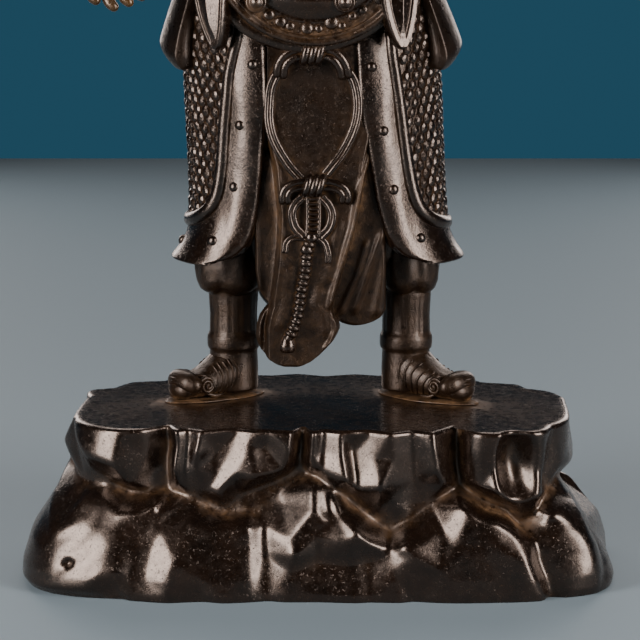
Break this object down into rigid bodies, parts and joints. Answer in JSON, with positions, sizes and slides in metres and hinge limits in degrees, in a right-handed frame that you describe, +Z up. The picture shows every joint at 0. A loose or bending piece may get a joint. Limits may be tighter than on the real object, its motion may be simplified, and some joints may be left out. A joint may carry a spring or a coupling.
{
  "type": "lokapala figure",
  "caption": "Standing guardian king in armour, cast bronze with a dark patina and gilt hands and face, on a rock plinth.",
  "frame": {"origin": "middle of the plinth's underside", "axes": "+Z up, +X to the viewer's right, +Y towards the figure's back"},
  "size_m": [0.255, 0.156, 0.4053],
  "materials": {
    "figure": "dark brown patina, waxed",
    "rock_plinth": "dark brown patina, waxed"
  },
  "bodies": {
    "root": {"rock_plinth": "rock_plinth", "figure": "figure"}
  },
  "joints": []
}
